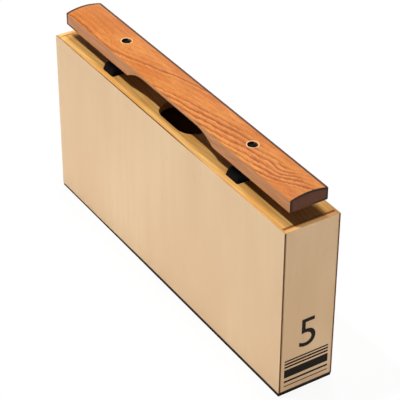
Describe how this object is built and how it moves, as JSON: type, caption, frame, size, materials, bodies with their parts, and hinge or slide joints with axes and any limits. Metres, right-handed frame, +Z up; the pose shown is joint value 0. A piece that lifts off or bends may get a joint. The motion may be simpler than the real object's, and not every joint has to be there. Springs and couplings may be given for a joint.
{
  "type": "chime bar",
  "caption": "Bass chime bar: a wooden bar, arched beneath and crowned on top, on rubber rests above a tall narrow wooden resonance box with a slotted sound hole.",
  "frame": {"origin": "middle of the box's underside, on the surface that it stands on", "axes": "+X along the bar towards the near end, +Y across the bar towards the back, +Z up"},
  "size_m": [0.44, 0.064, 0.2288],
  "materials": {
    "side_ply": "clear matt lacquer on birch plywood",
    "end_ply": "clear matt lacquer on birch plywood",
    "top_pine": "clear satin lacquer",
    "inner_pine": "bare sawn wood",
    "bar_wood": "oiled reddish hardwood, sanded smooth",
    "black_rubber": "moulded, matt",
    "pin_steel": "zinc plated",
    "base_felt": "pressed dark felt"
  },
  "bodies": {
    "resonator": {"top_board": "top_pine", "bottom_board": "inner_pine", "side_panel_front": "side_ply", "side_panel_back": "side_ply", "end_panel_near": "end_ply", "end_panel_far": "end_ply", "corner_batten_near_front": "inner_pine", "corner_batten_near_back": "inner_pine", "corner_batten_far_front": "inner_pine", "corner_batten_far_back": "inner_pine", "pin_block_near": "inner_pine", "pin_block_far": "inner_pine", "retaining_pin_near": "pin_steel", "retaining_pin_far": "pin_steel", "pin_sleeve_near": "black_rubber", "pin_sleeve_far": "black_rubber", "bar_rest_near": "black_rubber", "bar_rest_far": "black_rubber", "base_felt": "base_felt"},
    "bar": {"tone_bar": "bar_wood"}
  },
  "joints": [
    {"name": "bar_lift", "type": "slide", "parent": "resonator", "child": "bar", "axis": [0, 0, 1], "range_m": [0, 0.03]}
  ]
}
